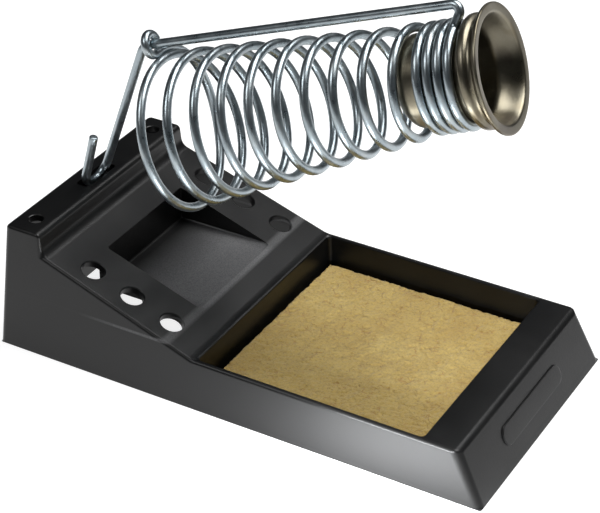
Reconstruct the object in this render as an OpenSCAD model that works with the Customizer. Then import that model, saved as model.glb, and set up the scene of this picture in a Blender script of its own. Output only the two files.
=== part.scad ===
// Bench stand for a hand soldering iron: an open-bottomed moulded base with a sponge tray,
// a stock of spare-tip holes, and a plug-in holder bent and coiled from one steel wire.
// Millimetres. +X points to the sponge end, +Z up, origin under the middle of the base.

/* [Base] */
// Length of the base at the table
base_l = 184; // [176:1:200]
// Width of the base at the table
base_w = 95; // [92:1:105]
// Inward lean of the side walls, millimetres for each millimetre of height
side_draft = 0.07; // [0.03:0.01:0.09]
// Wall thickness of the moulding
wall = 2.4; // [2:0.1:3]
// Height of the rim round the sponge tray
rim_h = 18.7; // [17:0.1:20]
// Height of the platform at the back
platform_h = 46.9; // [45:0.1:49]
// Depth of the platform, front to back
platform_d = 14; // [13:0.5:16]
// Inward lean of the back wall over its whole height
back_lean = 3.4; // [2:0.1:4]
// Inward lean of the front face over the height of the rim
front_lean = 9.6; // [8:0.1:11]
// Height at which the ramp meets the platform's riser
ramp_top_h = 39; // [38:0.1:40]
// Distance from the back of the base to the foot of the ramp
ramp_foot = 77.6; // [76:0.1:80]

/* [Sponge tray] */
// Length of the tray's mouth
tray_l = 82.2; // [80:0.1:84]
// Thickness of the rim along each side of the tray
tray_rim = 2.1; // [2:0.1:3]
// Height of the tray's floor above the table
tray_floor_h = 3; // [2.6:0.1:4]
// Inward lean of the tray's walls down to its floor
tray_lean = 1.5; // [1:0.1:2.5]
// Length of the sponge
sponge_l = 77; // [70:1:78]
// Width of the sponge
sponge_w = 80; // [70:1:81]
// Thickness of the sponge
sponge_t = 7.6; // [6:0.1:10]

/* [Ramp] */
// Length of the square recess in the ramp
recess_l = 37.2; // [34:0.1:38]
// Width of the square recess in the ramp
recess_w = 46.6; // [44:0.1:48]
// Diameter of the holes for spare tips
tip_hole_d = 8; // [6:0.1:8.4]
// Distance of each row of tip holes from the middle of the base
tip_row_y = 36; // [34:0.1:36.5]
// Spacing of the tip holes along the base
tip_step = 15.5; // [14:0.1:16]

/* [Platform] */
// Diameter of the two holes in the platform
cap_hole_d = 5; // [4:0.1:6]
// Distance of those holes from the middle of the base
cap_hole_y = 35.8; // [34:0.1:37]
// Length of the slot that takes the holder's foot
slot_l = 17.4; // [16.8:0.1:19]
// Width of the slot
slot_w = 5.2; // [4.8:0.1:5.4]
// Depth of the slot
slot_depth = 4; // [3.8:0.1:4.4]

/* [Wire holder] */
// Diameter of the wire
wire_d = 3.1; // [2.8:0.1:3.2]
// Set of the holder about the vertical, as it stands in its slot
holder_yaw = 5.3; // [0:0.1:7]
// Spread of the two legs of the foot
foot_spread = 12.1; // [11.5:0.1:12.4]
// Length of the free end that stands up beside the arm
stub_l = 22; // [16:0.5:24]
// Slope of the top rail
rail_tilt = 18.9; // [17:0.1:20]
// Height of the corner where the arm turns into the rail
shoulder_h = 101.5; // [98:0.1:104]
// Distance of that corner in front of the foot
shoulder_u = 21.1; // [20:0.1:23]

/* [Coil] */
// Slope of the coil's axis
coil_tilt = 23.6; // [23:0.1:24.2]
// Distance of the start of the coil's axis in front of the foot
coil_u = 28.8; // [28:0.1:30]
// Height of the start of the coil's axis
coil_h = 70; // [69:0.1:71]
// Mean radius of the coil at its wide end
coil_r_back = 26.6; // [25.5:0.1:27]
// Mean radius of the coil at its narrow end
coil_r_front = 16.4; // [16:0.1:17]
// Number of open turns
open_turns = 10.5; // [10.5:1:10.5]
// Distance from one open turn to the next
open_pitch = 9.92; // [9.7:0.01:10]
// Length of the close-wound turns that grip the mouthpiece
grip_l = 12; // [11.8:0.1:12.3]

// Distance of the rail's front bend ahead of the coil's last turn
hook_lead = 6; // [5.5:0.1:6.4]

/* [Mouthpiece] */
// Dip of the mouthpiece, and of the turns that grip it, below the coil's axis
grip_dip = 3.4; // [0:0.1:4]
// Turn of the mouthpiece, and of those turns, to the far side of that axis
grip_turn = 1.9; // [0:0.1:2.5]
// Wall thickness of the drawn metal mouthpiece
mouth_wall = 1.2; // [1:0.1:1.4]
// Outer radius of its flange
flange_r = 20.7; // [20:0.1:21]
// Radius of its mouth
mouth_r = 17.6; // [16.8:0.1:17.8]
// Radius of the bead behind the flange
bead_r = 18.3; // [17.9:0.1:18.6]
// Radius of the opening at its rear end
rear_r = 10.9; // [10:0.1:12]
// Length from the rear end to the flange's face
mouth_l = 31.4; // [30:0.1:33]

/* [Hidden] */
$fn = 96;
eps = 0.01;
back_x = -base_l / 2;
front_x = base_l / 2;

// Heights and places along the base
rim_front_x = front_x - front_lean;
ramp_foot_x = back_x + ramp_foot;
platform_back_x = back_x + back_lean;
platform_front_x = platform_back_x + platform_d;
riser_foot_x = platform_front_x + 0.6;
ramp_run = ramp_foot_x - riser_foot_x;
ramp_rise = ramp_top_h - rim_h;
ramp_angle = atan(ramp_rise / ramp_run);
function ramp_z(x) = rim_h + ramp_rise * (ramp_foot_x - x) / ramp_run;
function half_w(z) = base_w / 2 - side_draft * z;

// Sponge tray
tray_back_x = ramp_foot_x + 1.7;
tray_front_x = tray_back_x + tray_l;
tray_half_w = half_w(rim_h) - tray_rim;
floor_t = 2;
sponge_gap = 0.1;
sponge_x = tray_back_x + tray_l / 2 - 0.2;
sponge_y = 1;

// Recess and holes in the ramp
recess_back_x = back_x + 30.2;
recess_front_x = recess_back_x + recess_l;
recess_floor_h = ramp_z(recess_front_x);
tip_mid_x = back_x + 48.6;

// Slot for the holder's foot
foot_x = back_x + 11;
foot_y = -1.4;
slot_x = foot_x + 0.2;
slot_y = -1.2;
slot_cheek = 2.2;

// Blank badge on the front face
badge_l = 44;
badge_h = 7;
badge_t = 0.5;

// Holder, in its own frame: u forward, v to the side, z up, with the foot at u = v = 0
wire_r = wire_d / 2;
foot_h = platform_h - 2;
foot_bend_r = 5.5;
shoulder_bend_r = 6;
hook_bend_r = 2.2;
knee_bend_r = 3;
knee_l = 2;
foot_a = [-1.3, -foot_spread / 2, foot_h];
foot_b = [0.1, foot_spread / 2, foot_h];
shoulder = [shoulder_u, 0, shoulder_h];
stub_top = foot_a + stub_l * unit([0.25, -0.02, 1]);
rail_dir = [cos(rail_tilt), 0, sin(rail_tilt)];

// Coil frame: along the axis, up from the axis, and to the side
coil_0 = [coil_u, 0, coil_h];
axis_d = [cos(coil_tilt), 0, sin(coil_tilt)];
axis_e = [-sin(coil_tilt), 0, cos(coil_tilt)];
axis_v = [0, 1, 0];
rail_slope = tan(rail_tilt - coil_tilt);
shoulder_s = (shoulder - coil_0) * axis_d;
shoulder_e = (shoulder - coil_0) * axis_e;
function rail_e(s) = shoulder_e + rail_slope * (s - shoulder_s);
front_s = open_turns * open_pitch + grip_l;
leave_angle = 15;
end_turn = 14 - leave_angle / 360;
grip_pitch = grip_l / (end_turn - open_turns);

// Grip frame: the same three directions, for the mouthpiece and the turns round it
grip_tilt = coil_tilt - grip_dip;
grip_d = [cos(grip_tilt) * cos(grip_turn), cos(grip_tilt) * sin(grip_turn), sin(grip_tilt)];
grip_v = [-sin(grip_turn), cos(grip_turn), 0];
grip_e = cross(grip_d, grip_v);
grip_mid_s = open_turns * open_pitch + grip_l / 2;
grip_0 = coil_0 + grip_mid_s * (axis_d - grip_d);

// The coil starts under the rail, where its eye holds on, and ends under the hook
eye_s = 8.7;
eye_r = wire_d + 0.4;
eye_sweep = 270;
eye_e = rail_e(eye_s);
start_turn = 0.35;

// The turns over which the coil goes from its own frame into the grip frame
skew_from = open_turns - 1.3;
skew_to = open_turns - 0.3;

function unit(v) = v / norm(v);
function mix(a, b, k) = a * (1 - k) + b * k;
function hermite(x, x0, x1, y0, y1, m0, m1) =
    let (w = x1 - x0, k = (x - x0) / w)
    (2 * k ^ 3 - 3 * k ^ 2 + 1) * y0 + (k ^ 3 - 2 * k ^ 2 + k) * w * m0
    + (3 * k ^ 2 - 2 * k ^ 3) * y1 + (k ^ 3 - k ^ 2) * w * m1;

// Distance along the axis and radius of the coil, after t turns
cone_slope = (coil_r_front - coil_r_back) / open_turns;
function coil_s(t) =
    t < start_turn ? hermite(t, 0, start_turn, eye_s, start_turn * open_pitch, 0, open_pitch) :
    t <= open_turns ? t * open_pitch : open_turns * open_pitch + (t - open_turns) * grip_pitch;
function coil_r(t) =
    t < start_turn ? hermite(t, 0, start_turn, eye_e - eye_r,
                             coil_r_back + cone_slope * start_turn, 0, cone_slope) :
    t <= open_turns ? coil_r_back + cone_slope * t : coil_r_front;
function skew(t) =
    t <= skew_from ? 0 : t >= skew_to ? 1 : hermite(t, skew_from, skew_to, 0, 1, 0, 0);
function coil_at(t) =
    let (k = skew(t), e = mix(axis_e, grip_e, k), v = mix(axis_v, grip_v, k))
    mix(coil_0, grip_0, k) + coil_s(t) * mix(axis_d, grip_d, k)
    + coil_r(t) * (cos(360 * t) * e + sin(360 * t) * v);
function coil_way(t) =
    let (h = 0.002, a = max(0, t - h), b = min(end_turn, t + h)) unit(coil_at(b) - coil_at(a));

// From the end of the coil the wire goes up from the knee to the corner at the rail's front end
coil_end = coil_at(end_turn);
knee = coil_end + knee_l * coil_way(end_turn);
hook = coil_0 + (front_s + hook_lead) * axis_d + rail_e(front_s + hook_lead) * axis_e;
rise = unit(hook - knee);

// Mouthpiece, along the grip frame's axis
tube_r = coil_r_front - wire_r + 0.05;
bore_r = tube_r - mouth_wall;
bead_s = front_s + 4.8;
flange_s = front_s + 10.8;
rear_s = flange_s - mouth_l;

// ---------- shared shapes ----------

// Places the holder in the base's frame
module holder_place() {
    translate([foot_x, foot_y, 0]) rotate([0, 0, holder_yaw]) children();
}

// Straight wire from a to b
module rod(a, b) {
    way = b - a;
    translate(a)
        rotate([0, acos(way.z / norm(way)), atan2(way.y, way.x)])
            cylinder(h = norm(way), d = wire_d, $fn = 32);
}

// Tangent length of a bend of radius r between the directions a and b
function bend_cut(a, b, r) = r * tan(acos(a * b) / 2);

// Stations [point, way] round a bend of radius r at the corner p, from along a to along b
function bend_path(p, a, b, r, steps = 8) =
    let (side = unit(b - (a * b) * a), turn = acos(a * b),
         centre = p - a * bend_cut(a, b, r) + side * r)
    [for (i = [0 : steps])
        let (t = turn * i / steps)
        [centre + r * (sin(t) * a - cos(t) * side), cos(t) * a + sin(t) * side]];

// Stations along the coil from turn a to turn b
function coil_path(a, b) =
    let (steps = ceil((b - a) * 24))
    [for (i = [0 : steps])
        let (t = a + (b - a) * i / steps) [coil_at(t), coil_way(t)]];

// The part of v that is square to a way, at unit length
function square_to(way, v) = unit(v - (v * way) * way);

// Wire swept through a list of stations, with the section carried along without twist
module wire(path) {
    sides = 10;
    last = len(path) - 1;
    outs = [for (i = 0, n = square_to(path[0][1], [0.3, 1, 0.2]); i <= last;
                 i = i + 1, n = i > last ? n : square_to(path[i][1], n)) n];
    points = [for (i = [0 : last])
        let (across = cross(path[i][1], outs[i]))
        for (j = [0 : sides - 1])
            path[i][0] + wire_r * (cos(360 * j / sides) * outs[i] + sin(360 * j / sides) * across)];
    caps = [[for (j = [0 : sides - 1]) j],
            [for (j = [sides - 1 : -1 : 0]) last * sides + j]];
    skin = [for (i = [0 : last - 1]) for (j = [0 : sides - 1])
        let (k = (j + 1) % sides)
        [i * sides + j, (i + 1) * sides + j, (i + 1) * sides + k, i * sides + k]];
    color("#aeb6bb") holder_place() polyhedron(points, concat(caps, skin), convexity = 10);
}

// Side view of the base, pulled in by t
module side_view(t) {
    polygon([[back_x + t, -t], [front_x - t, -t], [rim_front_x - t, rim_h - t],
             [ramp_foot_x - t / 4, rim_h - t], [riser_foot_x - t / 4, ramp_top_h - t],
             [platform_front_x - t, platform_h - t], [platform_back_x + t, platform_h - t]]);
}

// End view of the base, pulled in by t
module end_view(t) {
    polygon([[-base_w / 2 - side_draft * t + t, -t], [base_w / 2 + side_draft * t - t, -t],
             [half_w(platform_h) - t, platform_h], [-half_w(platform_h) + t, platform_h]]);
}

// Solid of the base's outline, pulled in by t
module base_block(t) {
    intersection() {
        rotate([90, 0, 0])
            translate([0, 0, -base_w]) linear_extrude(2 * base_w) side_view(t);
        rotate([90, 0, 90])
            translate([0, 0, -base_l]) linear_extrude(2 * base_l) end_view(t);
    }
}

// Box by its lowest and highest corners
module span(a, b) {
    translate(a) cube(b - a);
}

// Tray hollow: mouth at the rim, narrower at the floor, grown by g on every side
module tray_room(g, bottom) {
    lean = tray_lean;
    depth = rim_h - tray_floor_h;
    low = (rim_h - bottom) / depth * lean;
    top = rim_h + 1;
    rise = lean / depth;
    intersection() {
        rotate([90, 0, 0])
            translate([0, 0, -base_w]) linear_extrude(2 * base_w)
                polygon([[tray_back_x + low - g, bottom], [tray_front_x - low + g, bottom],
                         [tray_front_x + rise + g, top], [tray_back_x - rise - g, top]]);
        rotate([90, 0, 90])
            translate([0, 0, -base_l]) linear_extrude(2 * base_l)
                polygon([[-tray_half_w + low - g, bottom], [tray_half_w - low + g, bottom],
                         [tray_half_w + rise + g, top], [-tray_half_w - rise - g, top]]);
    }
}

// Drill square to the ramp, at x along the base and y across it
module ramp_drill(x, y) {
    translate([x, y, ramp_z(x)]) rotate([0, ramp_angle, 0])
        translate([0, 0, -12]) cylinder(h = 18, d = tip_hole_d);
}

// Blank badge on the sloping front face
module badge() {
    mid = (badge_l - badge_h) / 2;
    lean = atan(front_lean / rim_h);
    translate([front_x - front_lean * 0.5, 0, rim_h * 0.5]) rotate([0, 90 - lean, 0])
        translate([0, 0, -1]) linear_extrude(1 + badge_t) {
            for (side = [-1, 1]) translate([0, side * mid]) circle(d = badge_h);
            square([badge_h, 2 * mid], center = true);
        }
}

// ---------- parts ----------

module base() {
    color("#242526") difference() {
        union() {
            difference() {
                base_block(0);
                difference() {
                    base_block(wall);
                    // tray walls and floor
                    tray_room(wall, tray_floor_h - floor_t);
                    // walls and floor of the recess
                    span([recess_back_x - wall, -recess_w / 2 - wall, recess_floor_h - wall],
                         [recess_front_x + 2 * wall, recess_w / 2 + wall, platform_h]);
                    // block that holds the slot
                    span([slot_x - slot_w / 2 - slot_cheek, slot_y - slot_l / 2 - slot_cheek,
                          platform_h - slot_depth - slot_cheek],
                         [slot_x + slot_w / 2 + slot_cheek, slot_y + slot_l / 2 + slot_cheek,
                          platform_h]);
                }
            }
            badge();
        }
        tray_room(0, tray_floor_h);
        span([recess_back_x, -recess_w / 2, recess_floor_h],
             [recess_front_x, recess_w / 2, platform_h]);
        span([slot_x - slot_w / 2, slot_y - slot_l / 2, platform_h - slot_depth],
             [slot_x + slot_w / 2, slot_y + slot_l / 2, platform_h + 1]);
        for (side = [-1, 1]) {
            for (i = [-1 : 1]) ramp_drill(tip_mid_x + i * tip_step, side * tip_row_y);
            translate([platform_back_x + platform_d / 2, side * cap_hole_y, platform_h - 6])
                cylinder(h = 8, d = cap_hole_d);
        }
    }
}

module sponge() {
    color("#c9a860")
        translate([sponge_x - sponge_l / 2, sponge_y - sponge_w / 2, tray_floor_h + sponge_gap])
            cube([sponge_l, sponge_w, sponge_t]);
}

module holder_foot() {
    down = unit(foot_a - stub_top);
    over = unit(foot_b - foot_a);
    up = unit(shoulder - foot_b);
    wire(concat([[stub_top, down]], bend_path(foot_a, down, over, foot_bend_r),
                bend_path(foot_b, over, up, foot_bend_r)));
}

module support_arm() {
    over = unit(foot_b - foot_a);
    up = unit(shoulder - foot_b);
    wire(concat([[foot_b + up * bend_cut(over, up, foot_bend_r), up]],
                bend_path(shoulder, up, rail_dir, shoulder_bend_r)));
}

module top_rail() {
    up = unit(shoulder - foot_b);
    color("#aeb6bb") holder_place()
        rod(shoulder + rail_dir * bend_cut(up, rail_dir, shoulder_bend_r),
            hook - rail_dir * bend_cut(rise, -rail_dir, hook_bend_r));
}

module rail_hook() {
    way = coil_way(end_turn);
    wire(concat([[coil_end, way]], bend_path(knee, way, rise, knee_bend_r),
                bend_path(hook, rise, -rail_dir, hook_bend_r)));
}

module guard_coil() {
    wire(coil_path(0, open_turns));
}

module grip_coil() {
    wire(coil_path(open_turns, end_turn));
}

module coil_eye() {
    centre = coil_0 + eye_s * axis_d + eye_e * axis_e;
    // The sweep starts at the coil's first point, under the rail, and goes round by the near side
    color("#aeb6bb") holder_place()
        multmatrix([[-axis_e.x, -axis_v.x, -axis_d.x, centre.x],
                    [-axis_e.y, -axis_v.y, -axis_d.y, centre.y],
                    [-axis_e.z, -axis_v.z, -axis_d.z, centre.z],
                    [0, 0, 0, 1]])
            rotate_extrude(angle = eye_sweep, $fn = 64)
                translate([eye_r, 0]) circle(d = wire_d, $fn = 32);
}

// Points of an arc about [s, r]
function arc(s, r, radius, from, to, steps) =
    [for (i = [0 : steps]) let (a = from + (to - from) * i / steps)
        [r + radius * sin(a), s + radius * cos(a)]];

module mouthpiece() {
    t = mouth_wall;
    lip = t / 2;
    bead_round = 1.6;
    neck = 4;
    // From the rear opening, out along the tube, over the bead and flange, and back inside
    outline = concat(
        [[rear_r, rear_s], [rear_r + t, rear_s]],
        arc(rear_s + neck, tube_r - neck, neck, 165, 90, 8),
        [[tube_r, bead_s - 2]],
        arc(bead_s, bead_r - bead_round, bead_round, 165, 40, 8),
        [[bead_r - 0.9, bead_s + 2.2]],
        arc(flange_s - 1.3, flange_r - 1.3, 1.3, 110, 0, 8),
        arc(flange_s - lip, mouth_r + lip, lip, 0, -90, 4),
        [[mouth_r - 1.9, flange_s - 4]],
        arc(flange_s - 7.6, bore_r + 1.5, 1.5, -30, -90, 4),
        arc(rear_s + neck, tube_r - neck, neck - t, 90, 150, 6)
    );
    color("#a49d90") holder_place()
        multmatrix([[grip_v.x, grip_e.x, grip_d.x, grip_0.x],
                    [grip_v.y, grip_e.y, grip_d.y, grip_0.y],
                    [grip_v.z, grip_e.z, grip_d.z, grip_0.z],
                    [0, 0, 0, 1]])
            rotate_extrude($fn = 128) polygon(outline);
}

base();
sponge();
holder_foot();
support_arm();
top_rail();
rail_hook();
guard_coil();
grip_coil();
coil_eye();
mouthpiece();
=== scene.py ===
import math

import bmesh
import bpy
from mathutils import Matrix, Vector, noise


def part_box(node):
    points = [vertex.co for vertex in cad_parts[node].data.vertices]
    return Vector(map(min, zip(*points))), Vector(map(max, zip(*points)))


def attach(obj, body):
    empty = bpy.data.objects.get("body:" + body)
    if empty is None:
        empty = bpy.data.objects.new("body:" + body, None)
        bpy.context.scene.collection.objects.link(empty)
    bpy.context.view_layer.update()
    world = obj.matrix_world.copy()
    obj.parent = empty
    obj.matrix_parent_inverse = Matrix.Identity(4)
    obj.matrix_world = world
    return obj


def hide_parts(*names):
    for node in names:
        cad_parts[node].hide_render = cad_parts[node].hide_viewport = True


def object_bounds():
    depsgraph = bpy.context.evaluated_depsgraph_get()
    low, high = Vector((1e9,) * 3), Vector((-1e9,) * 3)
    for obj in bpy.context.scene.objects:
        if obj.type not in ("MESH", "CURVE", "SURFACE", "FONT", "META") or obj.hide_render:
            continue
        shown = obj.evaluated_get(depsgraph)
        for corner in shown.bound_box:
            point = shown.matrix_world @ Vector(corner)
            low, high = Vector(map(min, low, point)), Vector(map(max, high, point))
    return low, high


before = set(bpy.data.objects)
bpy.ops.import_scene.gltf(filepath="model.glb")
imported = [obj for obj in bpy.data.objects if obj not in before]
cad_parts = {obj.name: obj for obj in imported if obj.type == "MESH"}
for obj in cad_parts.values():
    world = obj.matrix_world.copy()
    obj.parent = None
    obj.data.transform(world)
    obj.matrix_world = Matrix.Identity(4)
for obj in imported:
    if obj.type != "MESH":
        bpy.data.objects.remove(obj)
cad_lo, cad_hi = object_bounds()

MM = 0.001
TAU = 2 * math.pi
HOLDER_NODES = ["holder_foot", "support_arm", "top_rail", "rail_hook", "guard_coil", "grip_coil",
                "coil_eye"]

# The wire holder's driving dimensions, as in the part, in millimetres and degrees
BASE_L = 184.0
PLATFORM_H = 46.9
WIRE_R = 1.55
FOOT_SPREAD = 12.1
FOOT_DEPTH = 2.0
FOOT_A_X, FOOT_B_X = -1.3, 0.1
STUB_L = 22.0
STUB_LEAN = Vector((0.25, -0.02, 1))
FOOT_BEND_R = 5.5
SHOULDER_BEND_R = 6.0
HOOK_BEND_R = 2.2
KNEE_BEND_R = 3.0
KNEE_L = 2.0
HOOK_LEAD = 6.0
SHOULDER = Vector((21.1, 0, 101.5))
RAIL_TILT = math.radians(18.9)
COIL_TILT = math.radians(23.6)
COIL_0 = Vector((28.8, 0, 70.0))
R_BACK, R_FRONT = 26.6, 16.4
OPEN_TURNS, OPEN_PITCH = 10.5, 9.92
GRIP_L = 12.0
START_TURN = 0.35
LEAVE_ANGLE = 15.0
GRIP_DIP = math.radians(3.4)
GRIP_TURN = math.radians(1.9)
EYE_S = 8.7
EYE_R = 3.5
EYE_SWEEP = 270.0
FLANGE_S = 10.8
BEAD_S = 4.8
MOUTHPIECE_L = 31.4
HOLDER = Matrix.Translation((-BASE_L / 2 + 11, -1.4, 0)) @ Matrix.Rotation(math.radians(5.3), 4, "Z")


# ---------- small helpers ----------

def new_piece(name, bm, smooth=True):
    mesh = bpy.data.meshes.new(name)
    bm.normal_update()
    bm.to_mesh(mesh)
    bm.free()
    if smooth:
        mesh.polygons.foreach_set("use_smooth", [True] * len(mesh.polygons))
    piece = bpy.data.objects.new(name, mesh)
    bpy.context.scene.collection.objects.link(piece)
    return piece


def bake_modifiers(piece):
    graph = bpy.context.evaluated_depsgraph_get()
    mesh = bpy.data.meshes.new_from_object(piece.evaluated_get(graph), depsgraph=graph)
    piece.modifiers.clear()
    piece.data = mesh


def hermite(x, x0, x1, y0, y1, m0, m1):
    w = x1 - x0
    k = (x - x0) / w
    return ((2 * k**3 - 3 * k**2 + 1) * y0 + (k**3 - 2 * k**2 + k) * w * m0
            + (3 * k**2 - 2 * k**3) * y1 + (k**3 - k**2) * w * m1)


class Nodes:
    """Builds a material's node tree by short calls."""

    def __init__(self, name):
        self.material = bpy.data.materials.new(name)
        self.material.use_nodes = True
        self.tree = self.material.node_tree
        self.shader = self.tree.nodes["Principled BSDF"]
        self.coords = self.tree.nodes.new("ShaderNodeTexCoord").outputs["Object"]

    def link(self, a, b):
        self.tree.links.new(a, b)

    def axes(self):
        node = self.tree.nodes.new("ShaderNodeSeparateXYZ")
        self.link(self.coords, node.inputs[0])
        return node.outputs

    def noise(self, scale, detail=4.0, rough=0.5, distortion=0.0):
        node = self.tree.nodes.new("ShaderNodeTexNoise")
        node.inputs["Scale"].default_value = scale
        node.inputs["Detail"].default_value = detail
        node.inputs["Roughness"].default_value = rough
        node.inputs["Distortion"].default_value = distortion
        self.link(self.coords, node.inputs["Vector"])
        return node.outputs["Fac"]

    def voronoi(self, scale, feature="F1", coords=None):
        node = self.tree.nodes.new("ShaderNodeTexVoronoi")
        node.feature = feature
        node.inputs["Scale"].default_value = scale
        self.link(coords or self.coords, node.inputs["Vector"])
        return node.outputs["Distance"]

    def warped(self, scale, amount):
        """The object's coordinates, pushed about by a noise."""
        push = self.tree.nodes.new("ShaderNodeTexNoise")
        push.inputs["Scale"].default_value = scale
        self.link(self.coords, push.inputs["Vector"])
        node = self.tree.nodes.new("ShaderNodeVectorMath")
        node.operation = "MULTIPLY_ADD"
        node.inputs[1].default_value = (amount, amount, amount)
        self.link(push.outputs["Color"], node.inputs[0])
        self.link(self.coords, node.inputs[2])
        return node.outputs["Vector"]

    def ramp(self, value, stops):
        node = self.tree.nodes.new("ShaderNodeValToRGB")
        ramp = node.color_ramp
        while len(ramp.elements) < len(stops):
            ramp.elements.new(0.5)
        for element, (at, colour) in zip(ramp.elements, stops):
            element.position = at
            element.color = colour if len(colour) == 4 else (*colour, 1)
        self.link(value, node.inputs["Fac"])
        return node.outputs["Color"]

    def grey(self, value, stops):
        return self.ramp(value, [(at, (v, v, v)) for at, v in stops])

    def maths(self, kind, a, b):
        node = self.tree.nodes.new("ShaderNodeMath")
        node.operation = kind
        for socket, value in zip(node.inputs, (a, b)):
            if isinstance(value, (int, float)):
                socket.default_value = value
            else:
                self.link(value, socket)
        return node.outputs[0]

    def mix(self, factor, a, b, kind="MIX"):
        node = self.tree.nodes.new("ShaderNodeMix")
        node.data_type = "RGBA"
        node.blend_type = kind
        for socket, value in ((node.inputs[0], factor), (node.inputs[6], a), (node.inputs[7], b)):
            if isinstance(value, (int, float)):
                socket.default_value = value
            elif isinstance(value, tuple):
                socket.default_value = value if len(value) == 4 else (*value, 1)
            else:
                self.link(value, socket)
        return node.outputs[2]

    def bump(self, height, strength, distance, below=None):
        node = self.tree.nodes.new("ShaderNodeBump")
        node.inputs["Strength"].default_value = strength
        node.inputs["Distance"].default_value = distance
        self.link(height, node.inputs["Height"])
        if below is not None:
            self.link(below, node.inputs["Normal"])
        return node.outputs["Normal"]

    def set(self, **sockets):
        for name, value in sockets.items():
            socket = self.shader.inputs[name.replace("_", " ")]
            if isinstance(value, (int, float)):
                socket.default_value = value
            elif isinstance(value, tuple):
                socket.default_value = value if len(value) == 4 else (*value, 1)
            else:
                self.link(value, socket)


# ---------- materials ----------

def base_plastic():
    n = Nodes("base_plastic")
    blotch = n.noise(28, 5, 0.55)
    grain = n.noise(2600, 3, 0.6)
    pits = n.noise(900, 4, 0.7)
    skin = n.ramp(blotch, [(0.3, (0.0024, 0.0024, 0.0026)), (0.7, (0.0050, 0.0049, 0.0048))])
    rough = n.grey(n.maths("ADD", n.maths("MULTIPLY", blotch, 0.6), n.maths("MULTIPLY", grain, 0.4)),
                   [(0.3, 0.26), (0.7, 0.43)])
    # The recess floor is left matt and painted a lighter speckled grey as a painted sheen, fading towards
    # its walls
    x, y, z = n.axes()
    recess_l = (RECESS_FRONT_X - RECESS_BACK_X) * MM
    along = n.maths("DIVIDE", n.maths("ADD", x, -RECESS_BACK_X * MM), recess_l)
    across = n.maths("MULTIPLY", n.maths("ABSOLUTE", y, 0), 40)
    above = n.maths("ABSOLUTE", n.maths("SUBTRACT", z, ramp_z(RECESS_FRONT_X) * MM), 0)
    inside = n.maths("MULTIPLY", n.grey(along, [(0.08, 0.02), (0.6, 1)]),
                     n.grey(across, [(0.75, 1), (0.96, 0.5)]))
    level = n.grey(n.maths("DIVIDE", above, MM), [(0.25, 1), (0.7, 0)])
    floor = n.maths("MULTIPLY", inside, level)
    # painted sheen: a lighter grey laid on the recess floor in place of the light it would reflect
    recess_sheen_grey = n.ramp(grain, [(0.3, (0.080, 0.080, 0.082)), (0.7, (0.175, 0.175, 0.178))])
    colour = n.mix(floor, skin, recess_sheen_grey)
    fine = n.bump(grain, 0.22, 0.00006)
    n.set(Base_Color=colour, Roughness=n.mix(floor, rough, (0.6, 0.6, 0.6)),
          Normal=n.bump(pits, 0.12, 0.0002, fine))
    n.shader.inputs["IOR"].default_value = 1.4
    return n.material


def zinc_wire():
    n = Nodes("zinc_wire")
    cloud = n.noise(160, 4, 0.6)
    fine = n.noise(1500, 3, 0.65)
    specks = n.noise(420, 5, 0.75)
    colour = n.ramp(cloud, [(0.25, (0.26, 0.305, 0.33)), (0.55, (0.36, 0.41, 0.435)),
                            (0.8, (0.46, 0.49, 0.49))])
    dulled = n.mix(n.grey(specks, [(0.62, 0.0), (0.74, 0.45)]), colour, (0.16, 0.165, 0.165))
    rough = n.grey(n.maths("ADD", n.maths("MULTIPLY", cloud, 0.5), n.maths("MULTIPLY", specks, 0.5)),
                   [(0.35, 0.24), (0.68, 0.40)])
    n.set(Base_Color=dulled, Roughness=rough, Normal=n.bump(fine, 0.25, 0.00005))
    n.shader.inputs["Metallic"].default_value = 1.0
    return n.material


def mouthpiece_metal(name, tone):
    """The ferrule's dull metal with faint heat tints; a lower tone is darker, and gives the painted-shade
    copy used inside the bore.
    """
    n = Nodes(name)
    cloud = n.noise(90, 5, 0.6)
    fine = n.noise(1900, 3, 0.6)
    colour = n.ramp(cloud, [(0.3, (0.155 * tone, 0.138 * tone, 0.098 * tone)),
                            (0.7, (0.24 * tone, 0.22 * tone, 0.17 * tone))])
    tint = n.ramp(n.noise(55, 3, 0.5, 0.8), [(0.36, (0.20, 0.14, 0.055)), (0.46, (0.5, 0.5, 0.5)),
                                             (0.56, (0.5, 0.5, 0.5)), (0.66, (0.17, 0.13, 0.17))])
    tinted = n.mix(0.35, colour, tint, "OVERLAY")
    rough = n.grey(cloud, [(0.3, 0.26), (0.7, 0.40)])
    n.set(Base_Color=tinted, Roughness=rough, Normal=n.bump(fine, 0.2, 0.00005))
    n.shader.inputs["Metallic"].default_value = 1.0
    return n.material


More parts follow.
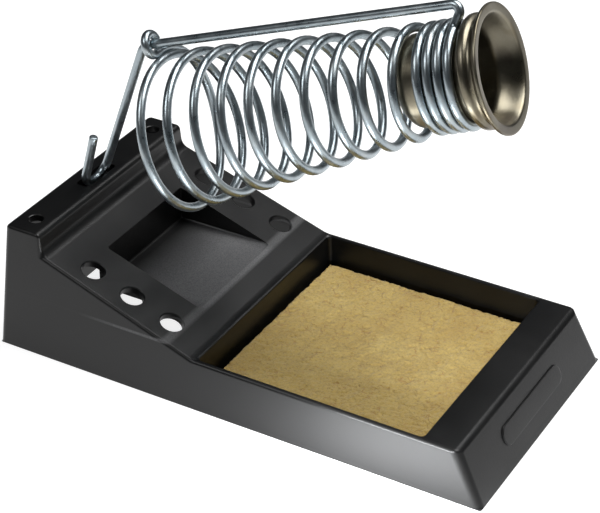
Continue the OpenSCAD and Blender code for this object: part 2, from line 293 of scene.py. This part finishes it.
def sponge_cellulose():
    n = Nodes("sponge_cellulose")
    tone = n.noise(60, 6, 0.65)
    crumbs = n.voronoi(700)
    fibre = n.noise(1000, 6, 0.78, 0.6)
    colour = n.ramp(tone, [(0.25, (0.47, 0.305, 0.076)), (0.5, (0.56, 0.392, 0.112)),
                           (0.75, (0.65, 0.480, 0.155))])
    dark = n.mix(n.grey(fibre, [(0.30, 0.7), (0.52, 0.0)]), colour, (0.22, 0.125, 0.028))
    # Short curled wrinkles where the dried cellulose has drawn together; their darker, warmer colour is
    # partly the brown of the creases and partly painted shade in them
    curls = n.voronoi(260, "DISTANCE_TO_EDGE", n.warped(170, 0.008))
    broken = n.grey(n.noise(260, 2, 0.5), [(0.54, 0), (0.62, 1)])
    crack = n.maths("MULTIPLY", n.grey(curls, [(0.0, 1), (0.08, 0)]), broken)
    # painted shade in the creases, mixed with their warmer brown
    wrinkle_tone_and_shade = n.mix(n.maths("MULTIPLY", crack, 0.7), dark, (0.40, 0.20, 0.040))
    height = n.maths("ADD", n.maths("MULTIPLY", fibre, 0.7), n.maths("MULTIPLY", crumbs, 0.5))
    height = n.maths("SUBTRACT", height, n.maths("MULTIPLY", crack, 0.25))
    n.set(Base_Color=wrinkle_tone_and_shade, Normal=n.bump(height, 1.0, 0.0009))
    n.shader.inputs["Roughness"].default_value = 0.92
    n.shader.inputs["Sheen Weight"].default_value = 0.25
    return n.material


def floor_white():
    """Pale paper that glows, with a painted pool of light brightest round the object."""
    n = Nodes("floor_white")
    tone = n.noise(3, 2, 0.5)
    away = n.tree.nodes.new("ShaderNodeVectorMath")
    away.operation = "LENGTH"
    n.link(n.coords, away.inputs[0])
    # painted light: the floor's own emission is strongest round the object and fades away from it
    glow = n.grey(away.outputs["Value"], [(0.28, 0.84), (0.85, 0.48)])
    n.set(Base_Color=n.grey(tone, [(0.3, 0.41), (0.7, 0.43)]), Emission_Color=glow)
    n.shader.inputs["Roughness"].default_value = 0.85
    n.shader.inputs["Emission Strength"].default_value = 1.0
    return n.material


# ---------- wire holder ----------

AXIS_D = Vector((math.cos(COIL_TILT), 0, math.sin(COIL_TILT)))
AXIS_E = Vector((-math.sin(COIL_TILT), 0, math.cos(COIL_TILT)))
AXIS_V = Vector((0, 1, 0))
RAIL_DIR = Vector((math.cos(RAIL_TILT), 0, math.sin(RAIL_TILT)))
FRONT_S = OPEN_TURNS * OPEN_PITCH + GRIP_L


def rail_e(s):
    from_shoulder = s - (SHOULDER - COIL_0) @ AXIS_D
    return (SHOULDER - COIL_0) @ AXIS_E + math.tan(RAIL_TILT - COIL_TILT) * from_shoulder


END_TURN = 14 - LEAVE_ANGLE / 360
GRIP_PITCH = GRIP_L / (END_TURN - OPEN_TURNS)
CONE = (R_FRONT - R_BACK) / OPEN_TURNS
GRIP_TILT = COIL_TILT - GRIP_DIP
GRIP_D = Vector((math.cos(GRIP_TILT) * math.cos(GRIP_TURN), math.cos(GRIP_TILT) * math.sin(GRIP_TURN),
                 math.sin(GRIP_TILT)))
GRIP_V = Vector((-math.sin(GRIP_TURN), math.cos(GRIP_TURN), 0))
GRIP_E = GRIP_D.cross(GRIP_V)
GRIP_0 = COIL_0 + (OPEN_TURNS * OPEN_PITCH + GRIP_L / 2) * (AXIS_D - GRIP_D)
SKEW_FROM, SKEW_TO = OPEN_TURNS - 1.3, OPEN_TURNS - 0.3


def coil_s(t):
    if t < START_TURN:
        return hermite(t, 0, START_TURN, EYE_S, START_TURN * OPEN_PITCH, 0, OPEN_PITCH)
    if t <= OPEN_TURNS:
        return t * OPEN_PITCH
    return OPEN_TURNS * OPEN_PITCH + (t - OPEN_TURNS) * GRIP_PITCH


def coil_r(t):
    if t < START_TURN:
        return hermite(t, 0, START_TURN, rail_e(EYE_S) - EYE_R, R_BACK + CONE * START_TURN, 0, CONE)
    return R_BACK + CONE * min(t, OPEN_TURNS)


def coil_at(t):
    if t <= SKEW_FROM:
        k = 0.0
    elif t >= SKEW_TO:
        k = 1.0
    else:
        k = hermite(t, SKEW_FROM, SKEW_TO, 0, 1, 0, 0)
    e, v, d = AXIS_E.lerp(GRIP_E, k), AXIS_V.lerp(GRIP_V, k), AXIS_D.lerp(GRIP_D, k)
    out = math.cos(TAU * t) * e + math.sin(TAU * t) * v
    return COIL_0.lerp(GRIP_0, k) + coil_s(t) * d + coil_r(t) * out


def arc_points(corner, a, b, radius, steps):
    """Points round a bend at a corner, from along a to along b."""
    side = (b - (a @ b) * a).normalized()
    turn = math.acos(a @ b)
    centre = corner - a * (radius * math.tan(turn / 2)) + side * radius
    angles = [turn * i / steps for i in range(steps + 1)]
    return [centre + radius * (math.sin(t) * a - math.cos(t) * side) for t in angles]


def wire_route():
    """The wire's centreline from the stub's free end to the cut end of the eye."""
    foot_h = PLATFORM_H - FOOT_DEPTH
    foot_a = Vector((FOOT_A_X, -FOOT_SPREAD / 2, foot_h))
    foot_b = Vector((FOOT_B_X, FOOT_SPREAD / 2, foot_h))
    stub_top = foot_a + STUB_L * STUB_LEAN.normalized()
    down = (foot_a - stub_top).normalized()
    over = (foot_b - foot_a).normalized()
    up = (SHOULDER - foot_b).normalized()
    hook_s = FRONT_S + HOOK_LEAD
    hook = COIL_0 + hook_s * AXIS_D + rail_e(hook_s) * AXIS_E
    leave = (coil_at(END_TURN) - coil_at(END_TURN - 0.002)).normalized()
    knee = coil_at(END_TURN) + KNEE_L * leave
    drop = (knee - hook).normalized()
    route = [stub_top]
    route += arc_points(foot_a, down, over, FOOT_BEND_R, 14)
    route += arc_points(foot_b, over, up, FOOT_BEND_R, 14)
    route += arc_points(SHOULDER, up, RAIL_DIR, SHOULDER_BEND_R, 12)
    route += arc_points(hook, RAIL_DIR, drop, HOOK_BEND_R, 16)
    route += arc_points(knee, drop, -leave, KNEE_BEND_R, 10)
    steps_a_turn = 56
    steps = int(END_TURN * steps_a_turn)
    route += [coil_at(END_TURN * (1 - i / steps)) for i in range(steps + 1)]
    eye = COIL_0 + EYE_S * AXIS_D + rail_e(EYE_S) * AXIS_E
    eye_steps = 24
    for i in range(1, eye_steps + 1):
        a = math.radians(EYE_SWEEP) * i / eye_steps
        route.append(eye - EYE_R * (math.cos(a) * AXIS_E + math.sin(a) * AXIS_V))
    return route


def densify(route, step):
    """Adds points along the long straight stretches."""
    out = [route[0]]
    for p in route[1:]:
        gap = (p - out[-1]).length
        if gap < 1e-4:
            continue
        start = out[-1]
        count = max(1, int(gap / step))
        out += [start.lerp(p, k / count) for k in range(1, count + 1)]
    return out


def wire_stations(radius):
    """Points along the wire, each with its direction, a carried normal and a radius."""
    route = densify(wire_route(), 2.5)
    end = len(route) - 1
    ways = [(route[min(i + 1, end)] - route[max(i - 1, 0)]).normalized() for i in range(end + 1)]
    normal = ways[0].orthogonal().normalized()
    stations = []
    for p, way in zip(route, ways):
        normal = (normal - (normal @ way) * way).normalized()
        stations.append([p, way, normal, radius])
    # Cut ends: a small bevel left by the cutter, as (distance from the end, radius) over the radius
    bevel = ((0.0, 0.62), (0.02, 0.80), (0.12, 0.93), (0.3, 1.0))
    first, last = stations[0], stations[-1]
    lead = [[first[0] + first[1] * radius * k, first[1], first[2], radius * r] for k, r in bevel]
    tail = [[last[0] - last[1] * radius * k, last[1], last[2], radius * r] for k, r in reversed(bevel)]
    return lead + stations[1:-1] + tail


def build_wire():
    sides = 20
    # Drawn a hair thin, so that no facet leaves the part's own box
    stations = wire_stations(WIRE_R - 0.01)
    bm = bmesh.new()
    rings = []
    for p, way, normal, radius in stations:
        across = way.cross(normal)
        ring = []
        for j in range(sides):
            a = TAU * j / sides
            q = p + radius * (math.cos(a) * normal + math.sin(a) * across)
            ring.append(bm.verts.new((HOLDER @ q) * MM))
        rings.append(ring)
    for one, two in zip(rings, rings[1:]):
        for j in range(sides):
            k = (j + 1) % sides
            bm.faces.new((one[j], one[k], two[k], two[j]))
    bm.faces.new(list(reversed(rings[0])))
    bm.faces.new(rings[-1])
    bmesh.ops.recalc_face_normals(bm, faces=bm.faces)
    piece = new_piece("wire_holder", bm)
    piece.data.materials.append(zinc_wire())
    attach(piece, "holder")
    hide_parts(*HOLDER_NODES)
    return piece


# ---------- mouthpiece ----------

def round_corners(points, radii, steps=5):
    """Rounds the corners of an open outline of (radius, along) points."""
    out = [points[0]]
    for i in range(1, len(points) - 1):
        p = Vector(points[i])
        a = (Vector(points[i - 1]) - p)
        b = (Vector(points[i + 1]) - p)
        cut = min(radii[i], a.length * 0.45, b.length * 0.45)
        start, end = p + a.normalized() * cut, p + b.normalized() * cut
        for k in range(steps + 1):
            t = k / steps
            q = start * (1 - t) ** 2 + p * 2 * t * (1 - t) + end * t**2
            out.append((q.x, q.y))
    out.append(points[-1])
    return out


def build_mouthpiece():
    wall = 1.2
    tube = R_FRONT - WIRE_R + 0.05
    bore = tube - wall
    flange_s = FRONT_S + FLANGE_S
    bead_s = FRONT_S + BEAD_S
    rear_s = flange_s - MOUTHPIECE_L
    throat = 17.2
    outline = [
        (10.9, rear_s + 0.5), (10.9, rear_s), (12.2, rear_s), (tube, rear_s + 2.6), (tube, bead_s - 1.9),
        (18.2, bead_s - 1.7), (18.3, bead_s + 0.6), (17.35, bead_s + 1.7), (17.4, bead_s + 2.9),
        (19.9, flange_s - 1.5), (20.7, flange_s - 1.1), (20.7, flange_s), (17.6, flange_s - 0.25),
        (16.8, flange_s - 1.6), (15.6, flange_s - 4.6), (bore, flange_s - 7.8), (bore, rear_s + 3.2),
        (11.4, rear_s + wall), (10.9, rear_s + 0.5)]
    radii = [0, 0.4, 0.6, 2.4, 0.5, 1.3, 1.2, 0.9, 0.9, 0.8, 0.4, 0.7, 0.6, 1.6, 2.0, 1.2, 2.4, 0.4, 0]
    profile = round_corners(outline, radii, 6)[:-1]
    lip = max(range(len(profile)), key=lambda j: profile[j][1])
    steps = 192
    bm = bmesh.new()
    rings = []
    for i in range(steps):
        a = TAU * i / steps
        out = math.cos(a) * GRIP_E + math.sin(a) * GRIP_V
        rings.append([bm.verts.new((HOLDER @ (GRIP_0 + s * GRIP_D + r * out)) * MM) for r, s in profile])
    count = len(profile)
    for i in range(steps):
        one, two = rings[i], rings[(i + 1) % steps]
        for j in range(count):
            k = (j + 1) % count
            face = bm.faces.new((one[j], one[k], two[k], two[j]))
            # faces inside the throat take the darker copy of the metal, painted shade for the dark bore
            face.material_index = 1 if j > lip and profile[j][0] < throat else 0
    bmesh.ops.recalc_face_normals(bm, faces=bm.faces)
    piece = new_piece("mouthpiece_drawn", bm)
    piece.data.materials.append(mouthpiece_metal("mouthpiece_metal", 1.0))
    # painted shade: the same metal darkened for the inside of the bore
    piece.data.materials.append(mouthpiece_metal("mouthpiece_inside_shaded", 0.8))
    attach(piece, "holder")
    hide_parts("mouthpiece")
    return piece


# ---------- base ----------

RIM_H = 18.7
RAMP_TOP = 39.0
RECESS_BACK_X, RECESS_FRONT_X, RECESS_HALF_W = -61.8, -24.6, 23.3
TRAY_BACK_X, TRAY_FRONT_X, TRAY_RIM, TRAY_FLOOR_H = -12.7, 69.5, 2.1, 3.0
TRAY_DRAFT = 1.5 / 15.7
SLOT_X, SLOT_Y, SLOT_L, SLOT_W, SLOT_D, SLOT_WALL = -80.8, -1.2, 17.4, 5.2, 4.0, 2.2
TIP_HOLE_X, TIP_HOLE_Y, TIP_HOLE_GAP, TIP_HOLE_R = -43.4, 36.0, 15.5, 4.0
CAP_HOLE_X, CAP_HOLE_Y, CAP_HOLE_R = -81.6, 35.8, 2.5
BADGE_L, BADGE_W = 44.0, 7.0
RAMP_FOOT_X, RISER_X, PLATFORM_X = -14.4, -74.0, -74.6
BACK_X, FRONT_X, RIM_FRONT_X, PLATFORM_BACK_X = -92.0, 92.0, 82.4, -88.6
WALL = 2.4
ABOVE_ALL = 50.0
RAMP_ANGLE = math.atan((RAMP_TOP - RIM_H) / (RAMP_FOOT_X - RISER_X))


def half_w(z):
    return 47.5 - 0.07 * z


def ramp_z(x):
    return RIM_H + (RAMP_TOP - RIM_H) * (RAMP_FOOT_X - x) / (RAMP_FOOT_X - RISER_X)


def shell(name, side, inset):
    """The base's outline as a solid: a side view carried across, with drafted flanks."""
    bm = bmesh.new()
    flanks = [[bm.verts.new((x * MM, sign * (half_w(z) - inset) * MM, z * MM)) for x, z in side]
              for sign in (-1, 1)]
    bm.faces.new(flanks[0])
    bm.faces.new(list(reversed(flanks[1])))
    for i in range(len(side)):
        k = (i + 1) % len(side)
        bm.faces.new((flanks[0][i], flanks[1][i], flanks[1][k], flanks[0][k]))
    bmesh.ops.recalc_face_normals(bm, faces=bm.faces)
    return new_piece(name, bm, smooth=False)


def rounded_ring(x0, x1, y0, y1, radius, steps=5):
    """Points round a rectangle with rounded corners."""
    points = []
    for cx, cy, start in ((x1 - radius, y1 - radius, 0), (x0 + radius, y1 - radius, 90),
                          (x0 + radius, y0 + radius, 180), (x1 - radius, y0 + radius, 270)):
        for i in range(steps + 1):
            a = math.radians(start + 90 * i / steps)
            points.append((cx + radius * math.cos(a), cy + radius * math.sin(a)))
    return points


def stacked(name, rings, place=None):
    """A closed solid through a stack of rings of (x, y, z) points."""
    bm = bmesh.new()
    place = place or Matrix.Identity(4)
    rows = [[bm.verts.new((place @ Vector(p)) * MM) for p in ring] for ring in rings]
    for one, two in zip(rows, rows[1:]):
        for j in range(len(one)):
            k = (j + 1) % len(one)
            bm.faces.new((one[j], one[k], two[k], two[j]))
    bm.faces.new(list(reversed(rows[0])))
    bm.faces.new(rows[-1])
    bmesh.ops.recalc_face_normals(bm, faces=bm.faces)
    return new_piece(name, bm, smooth=False)


def box_solid(name, lo, hi, radius=0.6, floor_round=0.0):
    """A box with rounded upright edges and, if asked, a rounded edge round its floor."""
    rings = []
    for k in range(4 if floor_round else 1):
        a = math.pi / 2 * k / 3
        pull = floor_round * (1 - math.sin(a))
        z = lo[2] + floor_round * (1 - math.cos(a))
        ring = rounded_ring(lo[0] + pull, hi[0] - pull, lo[1] + pull, hi[1] - pull, radius)
        rings.append([(x, y, z) for x, y in ring])
    rings.append([(x, y, hi[2]) for x, y in rounded_ring(lo[0], hi[0], lo[1], hi[1], radius)])
    return stacked(name, rings)


def drill(name, place, radius, lip, depth):
    """A round cutter whose mouth is at the origin, with a softened edge."""
    rings = []
    sides = 40
    for z, r in ((-depth, radius), (-lip, radius), (-lip * 0.4, radius + lip * 0.22),
                 (0, radius + lip * 0.8), (0.6, radius + lip * 0.8 + 0.9)):
        rings.append([(r * math.cos(TAU * i / sides), r * math.sin(TAU * i / sides), z)
                      for i in range(sides)])
    return stacked(name, rings, place)


def boolean(target, tool, kind):
    step = target.modifiers.new(kind, "BOOLEAN")
    step.operation = kind
    step.solver = "EXACT"
    step.object = tool
    bake_modifiers(target)
    bpy.data.objects.remove(tool)


def soften(piece, width_of, segments=4):
    """Rounds the long edges of a plain solid, each by its own radius in millimetres."""
    mesh = piece.data
    widest = 4.0
    weights = mesh.attributes.new("bevel_weight_edge", "FLOAT", "EDGE")
    for edge in mesh.edges:
        a, b = (mesh.vertices[i].co / MM for i in edge.vertices)
        weights.data[edge.index].value = width_of((a + b) / 2, b - a) / widest
    bevel = piece.modifiers.new("soft", "BEVEL")
    bevel.width = widest * MM
    bevel.segments = segments
    bevel.limit_method = "WEIGHT"
    bevel.use_clamp_overlap = False
    bake_modifiers(piece)


def base_edge_radius(mid, way):
    if mid.z < 0.5:
        return 0.4
    if abs(way.z) > 8 and abs(way.y) < abs(way.z) * 0.2 and (mid.x > 80 or mid.x < -85):
        return 3.0 if mid.x > 0 else 2.2
    if abs(way.y) > 60:
        if abs(mid.x - RISER_X) < 0.3 and abs(mid.z - RAMP_TOP) < 0.5:
            return 3.0
        if abs(mid.x - PLATFORM_X) < 0.3:
            return 2.0
        if abs(mid.x - RAMP_FOOT_X) < 0.3:
            return 1.6
        return 1.7
    return 1.2


def tray_solid(name, grow, floor, top, lip=0.0, round_floor=0.0):
    """The tray's room with its leaning walls, grown all round, with a softened rim and floor edge."""
    rings = []
    levels = [(floor, 0)]
    if round_floor:
        levels = [(floor, round_floor), (floor + round_floor * 0.3, round_floor * 0.3),
                  (floor + round_floor, 0)]
    for z, pull in levels:
        rings.append((z, TRAY_DRAFT * (RIM_H - z) + pull - grow))
    if lip:
        rings += [(RIM_H - lip, TRAY_DRAFT * lip - grow), (RIM_H - lip * 0.35, -lip * 0.25 - grow),
                  (RIM_H, -lip * 0.9 - grow), (top, -lip * 0.9 - 1.0 - grow)]
    else:
        rings.append((top, TRAY_DRAFT * (RIM_H - top) - grow))
    half = half_w(RIM_H) - TRAY_RIM
    return stacked(name, [[(x, y, z) for x, y in rounded_ring(TRAY_BACK_X + lean, TRAY_FRONT_X - lean,
                                                              -half + lean, half - lean, 1.6)]
                          for z, lean in rings])


def recess_solid(name, grow, front_grow, radius, floor_round):
    floor = ramp_z(RECESS_FRONT_X)
    return box_solid(name, (RECESS_BACK_X - grow, -RECESS_HALF_W - grow, floor - grow),
                     (RECESS_FRONT_X + front_grow, RECESS_HALF_W + grow, ABOVE_ALL), radius, floor_round)


def slot_solid(name, grow, radius, floor_round):
    half_x, half_y = SLOT_W / 2 + grow, SLOT_L / 2 + grow
    return box_solid(name, (SLOT_X - half_x, SLOT_Y - half_y, PLATFORM_H - SLOT_D - grow),
                     (SLOT_X + half_x, SLOT_Y + half_y, ABOVE_ALL), radius, floor_round)


def base_hollow():
    """The room under the base, less what hangs into it."""
    t = WALL
    inner_side = [(BACK_X + t, -3), (FRONT_X - t, -3), (RIM_FRONT_X - t, RIM_H - t),
                  (RAMP_FOOT_X - t / 4, RIM_H - t), (RISER_X - t / 4, RAMP_TOP - t),
                  (PLATFORM_X - t, PLATFORM_H - t), (PLATFORM_BACK_X + t, PLATFORM_H - t)]
    hollow = shell("hollow", inner_side, t)
    boolean(hollow, tray_solid("tray_block", t, 1.0, 22), "DIFFERENCE")
    boolean(hollow, recess_solid("recess_block", t, 2 * t, 0.6, 0), "DIFFERENCE")
    boolean(hollow, slot_solid("slot_block", SLOT_WALL, 0.6, 0), "DIFFERENCE")
    return hollow


def drill_holes(piece):
    for side in (-1, 1):
        for i in (-1, 0, 1):
            x = TIP_HOLE_X + TIP_HOLE_GAP * i
            place = Matrix.Translation((x, TIP_HOLE_Y * side, ramp_z(x)))
            place = place @ Matrix.Rotation(RAMP_ANGLE, 4, "Y")
            boolean(piece, drill("tip_hole", place, TIP_HOLE_R, 0.55, 12), "DIFFERENCE")
        place = Matrix.Translation((CAP_HOLE_X, CAP_HOLE_Y * side, PLATFORM_H))
        boolean(piece, drill("cap_hole", place, CAP_HOLE_R, 0.45, 6), "DIFFERENCE")


def add_badge(piece):
    """A blank rounded badge that stands a little proud of the sloping front face."""
    lean = math.atan((FRONT_X - RIM_FRONT_X) / RIM_H)
    middle = Matrix.Translation(((FRONT_X + RIM_FRONT_X) / 2, 0, RIM_H / 2))
    half_x, half_y = BADGE_W / 2, BADGE_L / 2
    rings = []
    for z, pull in ((-1.0, 0), (0.22, 0), (0.42, 0.12), (0.5, 0.36)):
        ring = rounded_ring(-half_x + pull, half_x - pull, -half_y + pull, half_y - pull, 3.49 - pull, 10)
        rings.append([(x, y, z) for x, y in ring])
    badge = stacked("badge", rings, middle @ Matrix.Rotation(math.pi / 2 - lean, 4, "Y"))
    boolean(piece, badge, "UNION")


def shade_moulding(piece, sharp_from):
    """Cleans the cut mesh and smooths it, except over edges sharper than an angle in degrees."""
    bm = bmesh.new()
    bm.from_mesh(piece.data)
    bmesh.ops.remove_doubles(bm, verts=bm.verts, dist=2e-6)
    bmesh.ops.dissolve_limit(bm, angle_limit=math.radians(0.2), verts=bm.verts, edges=bm.edges)
    bmesh.ops.triangulate(bm, faces=[f for f in bm.faces if len(f.verts) > 4])
    for face in bm.faces:
        face.smooth = True
    for edge in bm.edges:
        edge.smooth = len(edge.link_faces) == 2 and edge.calc_face_angle(0) < math.radians(sharp_from)
    bm.to_mesh(piece.data)
    bm.free()
    weighted = piece.modifiers.new("normals", "WEIGHTED_NORMAL")
    weighted.keep_sharp = True
    bake_modifiers(piece)


def build_base():
    outer_side = [(BACK_X, 0), (FRONT_X, 0), (RIM_FRONT_X, RIM_H), (RAMP_FOOT_X, RIM_H),
                  (RISER_X, RAMP_TOP), (PLATFORM_X, PLATFORM_H), (PLATFORM_BACK_X, PLATFORM_H)]
    piece = shell("base_moulding", outer_side, 0)
    soften(piece, base_edge_radius)
    boolean(piece, base_hollow(), "DIFFERENCE")
    boolean(piece, tray_solid("tray", 0, TRAY_FLOOR_H, 20, 0.8, 1.0), "DIFFERENCE")
    boolean(piece, recess_solid("recess", 0, 0, 0.9, 0.9), "DIFFERENCE")
    boolean(piece, slot_solid("slot", 0, 1.2, 0.6), "DIFFERENCE")
    drill_holes(piece)
    add_badge(piece)
    shade_moulding(piece, 26)
    piece.data.materials.clear()
    piece.data.materials.append(base_plastic())
    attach(piece, "stand")
    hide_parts("base")
    return piece


# ---------- sponge ----------

def build_sponge():
    """A cellulose pad with lumps, shallow cracks and ragged sides, inside its CAD box."""
    lo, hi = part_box("sponge")
    step = 0.55 * MM
    inset = Vector((0.9, 0.9, 0.35)) * MM
    bm = bmesh.new()
    bmesh.ops.create_cube(bm, size=1)
    for v in bm.verts:
        for k in range(3):
            v.co[k] = lo[k] + inset[k] if v.co[k] < 0 else hi[k] - inset[k]
    piece = new_piece("sponge_pad", bm)
    grid = piece.modifiers.new("grid", "REMESH")
    grid.mode = "VOXEL"
    grid.voxel_size = step
    bake_modifiers(piece)
    mesh = piece.data
    crack_w = 0.16
    bm = bmesh.new()
    bm.from_mesh(mesh)
    for v in bm.verts:
        q = v.co * (1 / MM)
        lump = noise.fractal(q * 0.06, 1.0, 2.0, 3) * 0.35
        crumb = noise.fractal(q * 0.45 + Vector((3, 7, 1)), 0.8, 2.1, 5)
        crease = abs(noise.fractal(q * 0.16 + Vector((9, 2, 5)), 0.9, 2.0, 4))
        crack = max(0.0, crack_w - crease) / crack_w
        # Each vertex leans on its neighbours as they already lie
        for face in v.link_faces:
            face.normal_update()
        v.normal_update()
        n = v.normal
        if n.z > 0.5:
            v.co.z += (lump + 0.20 * crumb - 0.5 * crack) * MM - 0.25 * MM
        elif n.z > -0.5:
            ragged = 0.55 * noise.fractal(q * 0.3 + Vector((5, 5, 5)), 0.8, 2.0, 5)
            v.co += Vector((n.x, n.y, 0)) * (ragged + 0.3 * crumb) * MM
        for k in range(3):
            v.co[k] = min(max(v.co[k], lo[k]), hi[k])
    bm.to_mesh(mesh)
    bm.free()
    mesh.polygons.foreach_set("use_smooth", [True] * len(mesh.polygons))
    mesh.materials.clear()
    mesh.materials.append(sponge_cellulose())
    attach(piece, "sponge")
    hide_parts("sponge")
    return piece


# ---------- stage ----------

def build_stage():
    bm = bmesh.new()
    bmesh.ops.create_grid(bm, x_segments=1, y_segments=1, size=3.0)
    floor = new_piece("floor", bm)
    floor.location = (0, 0, cad_lo.z - 0.0002)
    floor.data.materials.append(floor_white())
    world = bpy.data.worlds.new("studio")
    bpy.context.scene.world = world
    world.use_nodes = True
    tree = world.node_tree
    back = tree.nodes["Background"]
    back.inputs["Color"].default_value = (0.85, 0.92, 1.0, 1)
    back.inputs["Strength"].default_value = 0.05


def area_light(name, at, target, size, power, colour=(1, 1, 1)):
    data = bpy.data.lights.new(name, "AREA")
    data.shape = "RECTANGLE"
    data.size, data.size_y = size
    data.energy = power
    data.color = colour
    light = bpy.data.objects.new(name, data)
    light.location = at
    light.rotation_euler = (Vector(target) - Vector(at)).to_track_quat("-Z", "Y").to_euler()
    bpy.context.scene.collection.objects.link(light)
    return light


def build_lights():
    """Two soft boxes, and a low lamp whose glow on the floor gives the near side its sheen."""
    area_light("softbox_top", (0.20, 0.26, 0.72), (0, 0, 0.03), (0.6, 0.45), 6.5)
    area_light("softbox_front", (-0.25, -0.45, 0.70), (0, 0, 0.03), (0.3, 0.3), 1.6)
    glow = area_light("floor_glow", (0.060, -0.080, 0.026), (0.060, -0.080, 0), (0.06, 0.026), 0.42,
                      (0.96, 0.98, 1))
    glow.visible_camera = False


def build_camera():
    azimuth, elevation, roll = math.radians(29.932), math.radians(32.554), math.radians(0.148)
    data = bpy.data.cameras.new("camera")
    data.sensor_width = 36
    data.lens = 123.3
    camera = bpy.data.objects.new("camera", data)
    camera.location = (0.2841, -0.5061, 0.4090)
    level = math.cos(elevation)
    back = Vector((math.sin(azimuth) * level, -math.cos(azimuth) * level, math.sin(elevation)))
    turn = (-back).to_track_quat("-Z", "Y").to_matrix() @ Matrix.Rotation(roll, 3, "Z")
    camera.rotation_euler = turn.to_euler()
    data.shift_x = 0.033
    data.shift_y = -0.0012
    bpy.context.scene.collection.objects.link(camera)
    bpy.context.scene.camera = camera


build_camera()
build_stage()
build_lights()
build_base()
build_wire()
build_mouthpiece()
build_sponge()
bpy.context.scene.view_settings.view_transform = "Standard"
